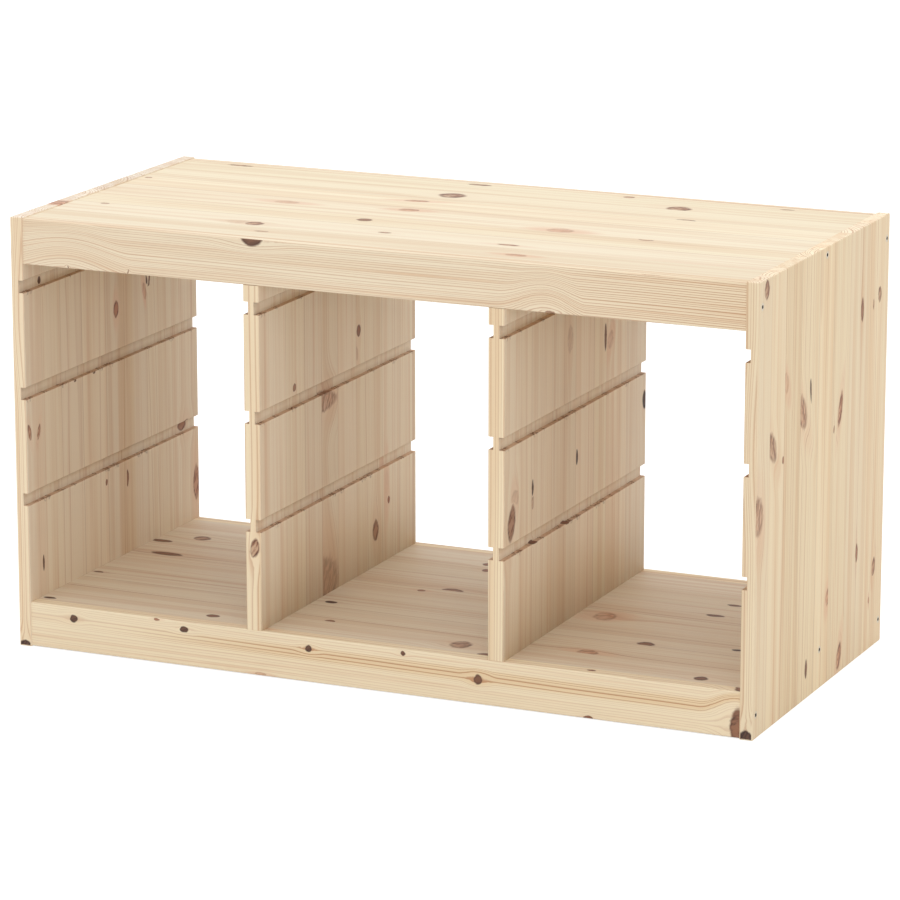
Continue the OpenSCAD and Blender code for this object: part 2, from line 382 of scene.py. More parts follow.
def show_knots(colour, made):
    """Blushed wood round each knot, and its hatched heart, which goes from red to almost black."""
    nearest, blush = made["Nearest"], made["Blush"]
    colour = tint(blush * 0.42, colour, KNOT_BLUSH)
    hatch = noise(wire("ShaderNodeMapping", {
        "Vector": made["Knot Place"], "Rotation": (0, 0, math.radians(24)), "Scale": (14, 3.2, 1)},
        vector_type="TEXTURE"), detail=2.0)
    weight = split(made["Knot Place"])[2]
    ragged = (hatch - 0.5) * ease(weight, 0.8, 1.4, 0.6, 0.25) + nearest
    inside = ease(ragged, 1.1, 0.82) * calc("MINIMUM", weight, 1.0)
    circles = calc("SINE", nearest * 19.0) * 0.12
    lines = (circles + ease(hatch, 0.4, 0.7, 0.0, 0.6)) * ease(weight, 0.3, 1.0, 0.4, 1.0)
    black = ease(weight, 1.0, 2.0) * ease(hatch, 0.35, 0.6, 0.72, 1.0)
    heart = tint(calc("MAXIMUM", lines, black), tint(blush, KNOT_HEART, KNOT_RED), KNOT_DARK)
    rim = ease(ragged, 0.55, 0.85) * ease(ragged, 1.12, 0.9)
    heart = tint(rim * 0.35, heart, KNOT_DARK)
    cover = calc("MAXIMUM", ease(hatch, 0.35, 0.6, 0.5, 1.0), ease(weight, 0.85, 1.4))
    return tint(inside * cover, colour, heart)


def pine(board, along, across, seed, knots, edge_knots=(), seams=(), pith=None, front=None,
         tone=(1, 1, 1), ring_width=3.4, contrast=1.0, evenness=0.0, warm=None, milled=None,
         pink=1.0):
    """Bare pine for one board. Along and across are the axes of its wide face, and seams are where
    its staves meet, in millimetres. Each knot is (along, across, half length, half width, turn,
    redness, weight), in millimetres and degrees. Redness goes from 0 to 1, and weight from 0, which
    only bends the grain, to 2, which is almost black. Edge knots are on the front edge, and their
    second number is measured from the middle of the thickness. A board without seams is one solid
    piece. A pith is (lean, place across, place behind the middle of the thickness), and front is
    the pith of the front stave. Warm is the middle and the reach of a darker band of heart wood,
    and where along the board it comes in. Milled is the height of the lowest groove, the pitch of
    the grooves, and the side that they are in: 1 or -1 across the thickness, or 0 for both. Pink
    is how much the broad bands show."""
    low, high = (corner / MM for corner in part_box(board))
    depth = 3 - along - across

    # Where a point is on the board, and which way it faces.
    material, tree = open_material("pine_" + board)
    axis = split(vector("SCALE", on_object(tree), Scale=1 / MM))
    thickness = axis[depth] - (low[depth] + high[depth]) / 2
    place = unite(axis[along], axis[across], thickness)
    facing = split(wire("ShaderNodeNewGeometry", {}, "True Normal", tree))
    upright = abs(facing[along])
    cut_across = ease(upright, 0.5, 0.95)
    on_edge = ease(abs(facing[across]), 0.5, 0.95)

    # The stave that it is in, and what that stave was sawn from.
    stave, grain_seed, strong = 0.0, seed, 1.0
    if seams:
        ends = low[across] - SPARE_BOARD, high[across] + SPARE_BOARD
        stave, glue, timber = sort_staves(axis[across], seams, *ends, seed)
        pith = timber["Pith"]
        if front:
            pith = mix(stave < 0.5, pith, front, "VECTOR")
        grain_seed = calc("MULTIPLY_ADD", stave, 3.7, seed)
        ring_width = timber["Ring Width"]
        strong = timber["Warmth"] + 0.5

    # The knots, a little out of round, and the grain that they push aside.
    rough = noise(place, detail=2.0, out="Color", scale=0.16)
    rough = vector("SUBTRACT", rough, (0.5, 0.5, 0.5))
    edge = on_edge > 0.5
    spot = unite(axis[along], mix(edge, axis[across], thickness),
                 mix(edge, stave, facing[across] - 1.0))
    spot = vector("ADD", spot, vector("MULTIPLY", rough, (4.0, 1.8, 0.0)))
    made = bend_round(knots, edge_knots, seams, spot)
    push = split(vector("SUBTRACT", made["Bent Place"], spot))[1]
    bent = vector("ADD", place, unite(0.0, mix(edge, push, 0.0), mix(edge, 0.0, push)))
    rings = use(ring_group, {
        "Place": bent, "Pith": pith, "Ring Width": ring_width, "Evenness": evenness,
        "Seed": grain_seed})
    fibres = use(fibre_group, {"Place": bent, "Seed": grain_seed})

    # Summer wood over spring wood, and then what tints them both.
    wide = rings["Latewood"] * (0.8 * contrast) * strong
    if warm:
        middle, reach, start, end = warm
        off = abs(fibres["Band"] * 16.0 + (split(bent)[1] - (middle + 8)))
        warmth = ease(off, reach, 0.4 * reach) * ease(axis[along], start, end)
        wide = wide * (warmth * 2.0 + 1.0)
    late = mix(on_edge, wide, rings["Cut End"] * 0.6)
    late = mix(cut_across, late, rings["Cut End"] * 0.8)
    colour = tint(late, tint(cut_across, SPRING_WOOD, SAWN_WOOD), SUMMER_WOOD)
    if milled:
        colour = show_milling_and_lip_shade(colour, place, upright, on_edge, milled)
    line = ease(fibres["Line"], 0.5, 0.72, 0.0, 0.4 + 0.5 * contrast)
    colour = tint(line, colour, PINK_LINE, "MULTIPLY")
    colour = tint(ease(fibres["Band"], 0.42, 0.68, 0.0, pink), colour, PINK_BAND, "MULTIPLY")
    streak = fibres["Streak"] * (0.16 * contrast) + (1.0 - 0.08 * contrast)
    colour = vector("SCALE", colour, Scale=streak)
    if seams:
        shade = timber["Tone"] * 0.08 + 0.96
        shades = unite(shade, shade, timber["Warmth"] * -0.04 + shade, kind="Color")
        colour = tint(1.0, colour, shades, "MULTIPLY")
        colour = tint(glue * 0.4, colour, GLUE_LINE)
    if warm:
        colour = tint(warmth, colour, WARM_BAND, "MULTIPLY")
    # The board's own tone, which also holds painted light on the top and painted shade on the bottom, the
    # left panel and the dividers.
    colour = tint(1.0 - on_edge if milled else 1.0, colour, (*tone, 1), "MULTIPLY")
    colour = show_knots(colour, made)

    # The fibres stand a little proud of the sanded face.
    sanded = use(fibre_group, {"Place": place, "Seed": seed})
    sanded = {"Height": sanded["Streak"], "Strength": 0.3, "Distance": 0.25 * MM}
    close_material("ShaderNodeBsdfPrincipled", {
        "Base Color": colour, "Roughness": fibres["Streak"] * 0.15 + 0.5 + cut_across * 0.15,
        "Normal": wire("ShaderNodeBump", sanded), "Specular IOR Level": 0.35})
    return material


def close_shape(mesh, material):
    """Ends a tree with one real mesh in one material."""
    whole = wire("GeometryNodeRealizeInstances", {0: mesh})
    dressed = wire("GeometryNodeSetMaterial", {"Geometry": whole, "Material": material})
    return close_tree({"Mesh": dressed})


studio = bpy.context.scene


def make_piece(name, tree, stands_for, sizes):
    """Runs a tree with its own sizes, keeps the result as a plain mesh, and puts it in the frame."""
    holder = bpy.data.objects.new(name + "_start", bpy.data.meshes.new(name + "_start"))
    studio.collection.objects.link(holder)
    modifier = holder.modifiers.new("shape", "NODES")
    modifier.node_group = tree
    for item in tree.interface.items_tree:
        if item.in_out == "INPUT":
            modifier[item.identifier] = sizes[item.name]
    evaluated = holder.evaluated_get(bpy.context.evaluated_depsgraph_get())
    piece = bpy.data.objects.new(name, bpy.data.meshes.new_from_object(evaluated))
    bpy.data.objects.remove(holder)
    studio.collection.objects.link(piece)
    if piece.data.materials[0] is None:
        piece.data.materials.pop(index=0)
    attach(piece, "root")
    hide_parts(stands_for)


def choose(which, choices, kind="FLOAT"):
    """One of several numbers or places, by its turn in the list."""
    switch = put(home([which]), "GeometryNodeIndexSwitch", {0: which}, data_type=kind)
    while len(switch.index_switch_items) < len(choices):
        switch.index_switch_items.new()
    for turn, choice in enumerate(choices, 1):
        join(choice, switch.inputs[turn])
    return Wire(switch.outputs[0])


def moved(shape, place):
    """A shape with each of its points at a new place."""
    return wire("GeometryNodeSetPosition", {"Geometry": shape, "Position": place})


def position(tree):
    """Where each point of a shape is."""
    return wire("GeometryNodeInputPosition", {}, tree=tree)


def number(tree):
    """The number of each point or instance in its list."""
    return wire("GeometryNodeInputIndex", {}, tree=tree)


def points_at(tree, places, count=None):
    """Points at a list of places, or at the first few of them."""
    line = wire("GeometryNodeMeshLine", {"Count": count or len(places)}, tree=tree)
    return moved(line, choose(number(tree), [unite(*place) for place in places], "VECTOR"))


def turned(tree, rows, sides):
    """A closed shape turned round Z, from a radius and a height for each row, lowest first."""
    blank = wire("GeometryNodeMeshCylinder", {
        "Vertices": sides, "Side Segments": len(rows) - 1, "Radius": 1.0, "Depth": 1.0}, tree=tree)
    point = split(position(tree))
    row = calc("ROUND", (point[2] + 0.5) * (len(rows) - 1.0))
    radii, heights = zip(*rows)
    radius = choose(row, radii)
    return moved(blank, unite(point[0] * radius, point[1] * radius, choose(row, heights)))


def fix_at(points, piece, turn):
    """The same piece at every point, turned alike."""
    sources = {"Points": points, "Instance": piece, "Rotation": turn}
    return wire("GeometryNodeInstanceOnPoints", sources)


def cut_out(board, cutters):
    """The board less its cutters, which are made real first."""
    trimmed = put(home([board]), "GeometryNodeMeshBoolean", {"Mesh 1": board},
                  operation="DIFFERENCE", solver="EXACT")
    for cutter in cutters:
        join(wire("GeometryNodeRealizeInstances", {0: cutter}), trimmed.inputs["Mesh 2"])
    return Wire(trimmed.outputs[0])


def marked(shape, name, value, domain="POINT"):
    """A shape that carries a number under a name on each of its points or faces."""
    return wire("GeometryNodeStoreNamedAttribute", {
        "Geometry": shape, "Name": name, "Value": value}, data_type="FLOAT", domain=domain)


def mark(tree, name):
    """The number that a shape carries under a name."""
    return wire("GeometryNodeInputNamedAttribute", {"Name": name}, tree=tree, data_type="FLOAT")


def held(value, low, high):
    """A number kept between two others."""
    return calc("MINIMUM", calc("MAXIMUM", value, low), high)


def draw_section(tree, given):
    """The section of a grooved upright, drawn by counting round its corners: up one face, where
    each groove has four, and down the other. Its lips and corners are rounded."""
    grooves = 3
    groove_corners = 4
    face_points = grooves * groove_corners + 2
    index = number(tree)
    both = given["Both Faces"]
    first_run = both * (face_points - 2.0) + 2.0
    count = first_run + face_points
    stride = both * (2.0 - face_points) + (face_points - 1.0)
    on_right = index < first_run
    step = mix(on_right, count - 1.0 - index, index * stride)
    inner = (step > 0.5) * (step < face_points - 1.5)
    groove = calc("FLOOR", (step - 1.0) / groove_corners)
    corner = groove * -groove_corners + (step - 1.0)
    deep = (corner > 0.5) * (corner < 2.5) * inner
    lip = inner - deep
    height = groove * given["Groove Pitch"] + given["Lowest Groove"]
    height = (corner > 1.5) * given["Groove Height"] + height
    height = mix(inner, mix(step > 0.5, given["Foot"], given["Head"]), height)
    cut = deep * given["Groove Depth"]
    face = mix(on_right, given["Left Face"] + cut, given["Right Face"] - cut)
    radius = mix(inner, given["Arris"], lip * given["Lip"])
    outline = wire("GeometryNodeCurvePrimitiveLine", {}, tree=tree)
    outline = wire("GeometryNodeResampleCurve", {"Curve": outline, "Count": count})
    outline = wire("GeometryNodeSetSplineCyclic", {"Geometry": outline, "Cyclic": True})
    outline = marked(marked(outline, "round", radius), "lip", lip)
    outline = moved(outline, unite(face, height, 0.0))
    rounding = {"Curve": outline, "Count": 4, "Radius": mark(tree, "round")}
    return wire("GeometryNodeFilletCurve", rounding, mode="POLY")


def sweep_board(tree, given, section):
    """The section swept from the rear edge to the front edge, with both edges rounded over a few
    close rows, and with the lips a little torn."""
    rows = 151
    edge_rows = 5
    path = wire("GeometryNodeCurvePrimitiveLine", {"Start": (0, 0, 0), "End": (0, 0, 1)}, tree=tree)
    path = wire("GeometryNodeResampleCurve", {"Curve": path, "Count": rows})
    board = wire("GeometryNodeCurveToMesh", {
        "Curve": path, "Profile Curve": section, "Fill Caps": True})
    across, up, along = split(position(tree))
    row = calc("ROUND", along * (rows - 1.0))
    from_end = calc("MINIMUM", row, rows - 1.0 - row)
    angle = calc("MINIMUM", from_end * (QUARTER_TURN / edge_rows), QUARTER_TURN)
    round_in = (1.0 - calc("COSINE", angle)) * given["Edge Arris"]
    inset = (1.0 - calc("SINE", angle)) * given["Edge Arris"]
    half = (given["Rear"] - given["Front"]) * 0.5
    pace = (half - given["Edge Arris"]) / ((rows - 1) / 2 - edge_rows)
    from_edge = calc("MAXIMUM", from_end - edge_rows, 0.0) * pace + round_in
    depth = mix(row > (rows - 1) / 2, given["Rear"] - from_edge, given["Front"] + from_edge)
    side = held(across, given["Left Face"] + inset, given["Right Face"] - inset)
    end_inset = calc("MINIMUM", inset, given["Arris"])
    height = held(up, given["Foot"] + end_inset, given["Head"] - end_inset)
    torn = noise(unite(across, depth, up), detail=3.0, scale=260.0)
    height = (torn - 0.5) * given["Tear"] * mark(tree, "lip") + height
    return moved(board, unite(side, depth, height))


def bore_side(tree, given, board, dowel_hole):
    """A side panel's countersunk holes for six screws, and its blind holes for twelve dowels."""
    screw_hole = turned(tree, [
        (SHANK_RADIUS + PLAY, -SCREW_BORE), (SHANK_RADIUS + PLAY, -HEAD_DEPTH),
        (HEAD_RADIUS + PLAY, -HEAD_RIM), (HEAD_RADIUS + PLAY, CUTTER_SPARE)], HOLE_SIDES)
    outside, inside = given["Right Face"], given["Left Face"]
    reach, board_reach = given["Rail Reach"], given["Board Reach"]
    screws, dowels = [], []
    for level in ("Lower", "Upper"):
        rail, middle = given[level + " Rail"], given[level + " Board"]
        screws += [(outside, -reach, rail), (outside, reach, rail), (outside, 0.0, middle)]
        dowels += [(inside, -board_reach, middle), (inside, board_reach, middle)]
        for height in (rail - given["Pair Offset"], rail + given["Pair Offset"]):
            dowels += [(inside, -reach, height), (inside, reach, height)]
    return cut_out(board, [
        fix_at(points_at(tree, screws), screw_hole, (0, QUARTER_TURN, 0)),
        fix_at(points_at(tree, dowels), dowel_hole, (0, -QUARTER_TURN, 0))])


def bore_divider(tree, given, board, dowel_hole):
    """A divider's notches behind the upper rails, its four dowel holes and its two screw holes."""
    middle = (given["Right Face"] + given["Left Face"]) * 0.5
    block = wire("GeometryNodeMeshCube", {"Size": (NOTCH_BLOCK,) * 3}, tree=tree)
    height = given["Notch Foot"] + NOTCH_BLOCK / 2
    cutters = []
    for edge, way in (("Notch Front", -1), ("Notch Rear", 1)):
        spot = unite(middle, given[edge] + way * NOTCH_BLOCK / 2, height)
        cutters.append(wire("GeometryNodeTransform", {"Geometry": block, "Translation": spot}))
    short_hole = turned(tree, [
        (SHANK_RADIUS + PLAY, -DIVIDER_SCREW - HOLE_SPARE), (SHANK_RADIUS + PLAY, 0.0)], HOLE_SIDES)
    under = given["Foot"] - SCREW_START
    for hole, reach, end, turn in (
            (dowel_hole, given["Board Reach"], given["Foot"], 0),
            (dowel_hole, given["Board Reach"], given["Head"], 2 * QUARTER_TURN),
            (short_hole, given["Screw Reach"], under, 2 * QUARTER_TURN)):
        spots = points_at(tree, [(middle, -reach, end), (middle, reach, end)])
        cutters.append(fix_at(spots, hole, (turn, 0, 0)))
    return cut_out(board, cutters)


def make_upright_tree():
    """A side panel or a divider, mirrored for the left side."""
    sizes = ["Left Face", "Right Face", "Rear", "Front", "Foot", "Head", "Both Faces", "Mirror",
             "Lowest Groove", "Groove Pitch", "Groove Height", "Groove Depth", "Lip", "Arris",
             "Edge Arris", "Tear", "Rail Reach", "Upper Rail", "Upper Board", "Lower Rail",
             "Lower Board", "Pair Offset", "Board Reach", "Screw Reach", "Notch Foot",
             "Notch Front", "Notch Rear"]
    takes = {**dict.fromkeys(sizes, 0.0), "Material": None}
    given = open_tree("grooved_upright", takes, "GeometryNodeTree")
    tree = home(given.values())
    board = sweep_board(tree, given, draw_section(tree, given))
    dowel_hole = turned(tree, [
        (DOWEL_RADIUS + PLAY, -DOWEL_SET - HOLE_SPARE),
        (DOWEL_RADIUS + PLAY, DOWEL_LENGTH - DOWEL_SET + HOLE_SPARE)], HOLE_SIDES)
    board = wire("GeometryNodeSwitch", {
        "Switch": given["Both Faces"] > 0.5, "False": bore_side(tree, given, board, dowel_hole),
        "True": bore_divider(tree, given, board, dowel_hole)}, input_type="GEOMETRY")
    board = moved(board, vector("MULTIPLY", position(tree), unite(given["Mirror"], 1.0, 1.0)))
    board = wire("GeometryNodeFlipFaces", {"Mesh": board, "Selection": given["Mirror"] < 0.0})
    return close_shape(board, given["Material"])


QUARTER_TURN = math.pi / 2
PLAY = 0.05 * MM
HOLE_SPARE = 0.5 * MM
CUTTER_SPARE = 1 * MM
HOLE_SIDES = 32
HEAD_RADIUS = 4.5 * MM
HEAD_DEPTH = 3 * MM
HEAD_RIM = 0.6 * MM
SHANK_RADIUS = 2.5 * MM
SCREW_BORE = 60 * MM
DIVIDER_SCREW = 45 * MM
SCREW_START = 16 * MM
DOWEL_RADIUS = 4 * MM
DOWEL_LENGTH = 30 * MM
DOWEL_SET = 10 * MM
NOTCH_PLAY = 0.2 * MM
NOTCH_BLOCK = 100 * MM
LOWEST_GROOVE = 173
GROOVE_PITCH = 128.5
upright_tree = make_upright_tree()
panel_low, panel_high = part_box("right_side_panel")
rail_low, rail_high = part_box("front_upper_rail")
bottom_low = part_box("bottom_panel")[0]
fixings = {
    "Rail Reach": -(rail_low.y + rail_high.y) / 2, "Pair Offset": 16 * MM,
    "Board Reach": 130 * MM, "Screw Reach": 75 * MM}
for row, board in (("Upper Rail", "front_upper_rail"), ("Lower Rail", "front_lower_rail"),
                   ("Upper Board", "top_panel"), ("Lower Board", "bottom_panel")):
    low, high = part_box(board)
    fixings[row] = (low.z + high.z) / 2
upright_cuts = {
    "Lowest Groove": LOWEST_GROOVE * MM, "Groove Pitch": GROOVE_PITCH * MM,
    "Groove Height": 15 * MM, "Groove Depth": 6.5 * MM, "Lip": 0.8 * MM, "Tear": 0.25 * MM,
    "Edge Arris": 1.5 * MM, "Notch Foot": rail_low.z - NOTCH_PLAY,
    "Notch Front": rail_high.y + NOTCH_PLAY, "Notch Rear": -rail_high.y - NOTCH_PLAY, **fixings}
panel_sizes = {
    "Left Face": panel_low.x, "Right Face": panel_high.x, "Rear": panel_high.y,
    "Front": panel_low.y, "Foot": panel_low.z, "Head": panel_high.z, "Both Faces": 0.0,
    "Arris": 1.5 * MM, **upright_cuts}

X, Y, Z = range(3)
SIDE_SEAMS = [-180, -134, -82, -22, 26, 84, 150]
right_knots = [
    (508, -197, 12, 8, 0, 0.2, 1), (422, 127, 15, 5, 0, 0.1, 1.3), (429, 189, 10, 6, 0, 0.1, 1.1),
    (421, 167, 7, 2.2, 0, 0.1, 1.1), (345, -76, 26, 14, -32, 0.5, 0.8), (363, -48, 15, 3, 0, 0, 1.8),
    (320, 56, 22, 7, 14, 0.6, 1), (300, 36, 5, 3.5, 0, 0.2, 1.2), (325, -172, 22, 12, -32, 0.3, 0.85),
    (303, -140, 5, 4, 0, 0.4, 1.3), (390, -130, 14, 9, -25, 0.8, 0.35), (256, -214, 24, 17, -8, 0.5, 0.75),
    (131, 125, 12, 4, 0, 0.3, 1.3), (99, 188, 12, 6, 10, 0.3, 1.1), (61, 173, 4, 3, 0, 0.9, 1.1),
    (104, 25, 11, 8, 12, 1.0, 0.7), (21, 68, 18, 8, 14, 0.8, 0.9), (36, -46, 12, 4, 0, 0, 1.5),
]
right_edge_knots = [(3, 0, 9, 9, 0, 0, 1.9), (335, 14, 30, 12, 0, 0.1, 0)]
right_pine = pine("right_side_panel", Z, Y, seed=11.0, knots=right_knots,
                  edge_knots=right_edge_knots, seams=SIDE_SEAMS, front=(0.004, -236, -29),
                  tone=(0.99, 0.975, 0.965), contrast=0.75, milled=(LOWEST_GROOVE, GROOVE_PITCH, -1))
make_piece("right_grooved_panel", upright_tree, "right_side_panel",
           {**panel_sizes, "Mirror": 1.0, "Material": right_pine})
left_knots = [
    (367, 6, 11, 7, 0, 0.7, 1.3), (391, 84, 10, 3, -25, 0.2, 1.8), (387, 92, 8, 2.5, 20, 0.2, 1.6),
    (376, 80, 12, 5, -15, 0.9, 0.5), (436, -171, 5, 4, 0, 0.2, 1.8), (330, -130, 30, 9, 0, 0.1, 0),
    (261, -213, 11, 4, -15, 0.4, 1), (257, -191, 10, 3.5, 15, 0.4, 1), (182, 186, 8, 12, 0, 0.3, 1.3),
    (95, -186, 10, 2.5, 0, 0.1, 1.7), (300, -52, 1.5, 3, 0, 0.1, 1.7), (300, -100, 1.5, 3, 0, 0.1, 1.7),
    (157, -26, 4, 2.5, 0, 0.3, 1.5), (150, 28, 11, 3.5, 0, 0.3, 1.5), (102, 212, 24, 9, 0, 0.6, 1.2),
    (520, -128, 4, 22, 0, 0.9, 0.75),
]
left_edge_knots = [(0, 0, 8, 10, 0, 0, 1.9), (405, 13, 28, 14, 0, 0.1, 0)]
# Its tone is darker and greyer than the pine's own: painted shade for the inside of the left bay.
left_pine = pine("left_side_panel", Z, Y, seed=23.0, knots=left_knots, edge_knots=left_edge_knots,
                 seams=SIDE_SEAMS, front=(-0.004, -206, 29), tone=(0.9, 0.915, 0.995),
                 contrast=0.5, warm=(30, 26, -900, -800),
                 milled=(LOWEST_GROOVE, GROOVE_PITCH, 1))
make_piece("left_grooved_panel", upright_tree, "left_side_panel",
           {**panel_sizes, "Mirror": -1.0, "Material": left_pine})


# Dividers: two upright boards between the frames, glued up and grooved like the side panels but
# on both faces. Each stands on two dowels and two screws, and has a notch behind each upper rail.

left_divider_knots = [
    (359, 49, 8, 6, 0, 0.2, 1.4), (338, 42, 16, 5, -12, 0.4, 0.35), (326, -127, 5, 4.5, 0, 0.2, 1.3),
    (292, -54, 13, 44, 0, 0.4, 0.75), (100, 95, 14, 9, 0, 0.3, 1.25), (130, 133, 5, 3.5, 0, 0.3, 1.4),
    (150, 128, 20, 6, 0, 0.9, 0.1), (70, -54, 34, 46, 0, 0.4, 0.55),
]
right_divider_knots = [
    (392, -26, 18, 9, 0, 0.2, 0.3), (372, 82, 17, 3.5, 0, 0.3, 1.6), (366, 98, 12, 9, 25, 0.7, 0.35),
    (246, -4, 10, 3, 0, 0.1, 2), (240, -136, 10, 2.5, 0, 0.1, 1.9), (222, -136, 8, 2, 0, 0.2, 0.6),
    (212, -197, 22, 11, 12, 0.2, 1.25), (240, -188, 10, 5, 0, 0.6, 0.3), (269, 209, 12, 7, 0, 0.1, 1.9),
    (173, -128, 1.5, 7, 0, 0.1, 1.6), (173, -32, 1.5, 7, 0, 0.1, 1.5),
]
for side, seed, knots, edge_knots, seams in (
        ("left", 37.0, left_divider_knots, [(154, 2, 12.5, 6.2, 8, 0.2, 1.15)],
         [-150, -100, -55, -10, 42, 115, 165]),
        ("right", 41.0, right_divider_knots, [], [-140, -80, -8, 46, 86, 150])):
    # The dividers' tone is greyer and bluer than the pine's own: painted shade for the inside of the bays.
    divider_pine = pine(side + "_divider", Z, Y, seed, knots, edge_knots, seams,
                        tone=(0.99, 1.02, 1.13), contrast=0.45,
                        milled=(LOWEST_GROOVE, GROOVE_PITCH, 0))
    low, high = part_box(side + "_divider")
    make_piece(side + "_grooved_divider", upright_tree, side + "_divider", {
        **upright_cuts, "Left Face": low.x, "Right Face": high.x, "Rear": high.y, "Front": low.y,
        "Foot": low.z, "Head": high.z, "Both Faces": 1.0, "Arris": 0.0, "Mirror": 1.0,
        "Material": divider_pine})


# Top panel and upper rails: an edge-glued board with a solid rail glued along its front edge and
# one along its rear edge, flush on top, so that they make one stiff frame.

def dress(board, across, **looks):
    """Gives a board of the frame, whose grain runs from left to right, its own pine."""
    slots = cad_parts[board].data.materials
    slots.clear()
    slots.append(pine(board, X, across, **looks))


TOP_SEAMS = [-150, -92, -40, 28, 86, 142]
top_knots = [
    (-189, -134, 12, 10, 0, 0, 1.1), (-214, -132, 14, 5, 0, 0.3, 0.2), (-407, -94, 6, 4, 0, 0.2, 1.1),
    (-439, 77, 5, 4, 0, 0.2, 1.1), (-213, 1, 18, 8, 0, 0.9, 0.4), (-373, 196, 18, 4, 0, 0.1, 1.1),
    (-161, -173, 10, 3, 0, 0.2, 0.8), (-51, 119, 18, 15, 0, 0.15, 1.1), (-75, 70, 17, 6, 8, 1.0, 0.7),
    (-60, 14, 14, 8, 8, 1.0, 0.65), (-82, -62, 10, 8, 0, 0, 1.3), (-28, -122, 9, 4, 0, 0.3, 0.9),
    (-49, 196, 16, 5, 0, 0, 1.1), (151, -29, 18, 12, 0, 1.0, 0.5), (130, -131, 14, 4, 0, 0.5, 1.2),
    (161, -181, 14, 6, 0, 1.0, 0.6), (227, 150, 16, 14, 0, 0.3, 1.05), (146, 195, 8, 5, 0, 0.4, 1.1),
    (260, 88, 13, 4, 0, 0.1, 1), (262, -41, 10, 4, 0, 0.3, 1.2), (346, 196, 10, 3, 0, 0.2, 0.9),
]
# The top's tone is paler and cooler than the pine's own: painted light from above.
dress("top_panel", Y, seed=53.0, knots=top_knots, seams=TOP_SEAMS, tone=(1.0, 1.055, 1.14),
      contrast=0.4)
RAIL_TONE = (1.0, 1.03, 1.08)
front_upper_knots = [
    (-151, 518, 14, 8.5, 0, 0, 1.6), (-390, 465, 1, 3, 20, 0, 1.6), (-311, 467, 1, 3, 0, 0, 1.2),
    (217, 465, 7, 2, 0, 0.1, 1.3), (337, 519, 14, 2, 0, 0.6, 0.4), (-390, 434, 20, 38, 0, 0.1, 0),
    (200, 440, 12, 34, -18, 0.1, 0),
]
dress("front_upper_rail", Z, seed=61.0, knots=front_upper_knots, pith=(0.006, 380, -38),
      tone=RAIL_TONE, ring_width=2.6, evenness=1.0, contrast=1.1, warm=(492, 60, 60, 700))
dress("rear_upper_rail", Z, seed=67.0, knots=[(120, 500, 12, 7, 0, 0.3, 1)],
      pith=(0.004, 400, 40), tone=RAIL_TONE)


# Bottom panel and lower rails: the same board and rails turned over, with the rails below, so
# that the bays have a flat floor and the rails stand just clear of the ground.

floor_knots = [
    (-438, -193, 9, 4, 0, 0.1, 1.9), (-440, -67, 7, 3, 0, 0.2, 1.6), (-224, -184, 9, 6, 0, 0.1, 1.5),
    (-396, 124, 12, 10, 0, 0.1, 1.2), (-403, 41, 22, 7, 0, 0.1, 1.5), (-438, 94, 16, 6, 0, 0.1, 1.5),
    (-123, -74, 8, 5, 0, 0.1, 2), (-89, -148, 7, 5, 0, 0.2, 1.4), (-12, 31, 14, 9, 0, 0.1, 1.3),
    (-46, 16, 6, 4, 0, 0.3, 1.3), (91, -175, 14, 15, 10, 0.1, 0.9), (131, -200, 9, 6, 0, 0.1, 1.5),
    (-20, 157, 7, 7, 0, 0.1, 1.4), (-10, 131, 7, 7, 0, 0.1, 1.4), (198, 2, 15, 18, 20, 0.8, 0.6),
    (284, -86, 11, 9, 0, 0.1, 1.5), (236, -144, 14, 10, 0, 0.7, 0.7), (315, 57, 12, 5, 0, 0.1, 1.6),
    (321, 107, 10, 4, 0, 0.1, 1.6), (391, -188, 9, 8, 0, 0.1, 1.6), (389, -67, 7, 4, 0, 0.1, 2),
]
# The floor's tone is darker and greyer than the pine's own: painted shade for the floor of the bays.
dress("bottom_panel", Y, seed=71.0, knots=floor_knots, seams=TOP_SEAMS,
      tone=(0.91, 0.945, 1.065), contrast=0.9)
front_lower_knots = [
    (-392, 41, 5.5, 5, 0, 0.1, 1.8), (-281, 53, 4, 1.5, 0, 0.5, 1.3), (-245, 45, 6.2, 3.8, 0, 0.1, 1.8),
    (-83, 41, 5, 4.5, 0, 0.1, 1.8), (37, 50, 3.5, 3, 0, 0.2, 1.7), (131, 30, 5.5, 6.5, 0, 0.1, 1.6),
    (-145, 3, 8, 2, 0, 0.8, 0.5), (447, 13, 10, 24, 0, 0.1, 1.35), (267, 2, 6, 2.5, 0, 0.3, 1.5),
]
dress("front_lower_rail", Z, seed=79.0, knots=front_lower_knots, pith=(0.01, 130, -40),
      tone=(1.03, 1.05, 1.06), ring_width=3.0, evenness=1.0, contrast=0.6,
      warm=(33, 12, -420, -60), pink=0.2)
dress("rear_lower_rail", Z, seed=83.0, knots=[(-210, 30, 9, 6, 0, 0.3, 1)],
      pith=(0.004, -60, 40))


# Screws: zinc-plated, countersunk, with a hexagon socket. Three hold each end of each frame to
# its side panel, and two hold each divider from below.

def zinc():
    """Bright zinc plate: thin and a little cloudy, with painted shade in the socket."""
    material, tree = open_material("zinc_plate")
    cloud = noise(on_object(tree), detail=3.0, scale=900.0)
    # Painted shade: the faces inside the hexagon socket are painted almost black.
    socket_shade = wire("ShaderNodeAttribute", {}, "Fac", tree, attribute_name="socket")
    plate = tint(cloud, paint(244, 232, 212), paint(216, 205, 186))
    close_material("ShaderNodeBsdfPrincipled", {
        "Base Color": tint(socket_shade, plate, paint(44, 40, 36)), "Roughness": cloud * 0.2 + 0.35,
        "Metallic": 1.0})
    return material


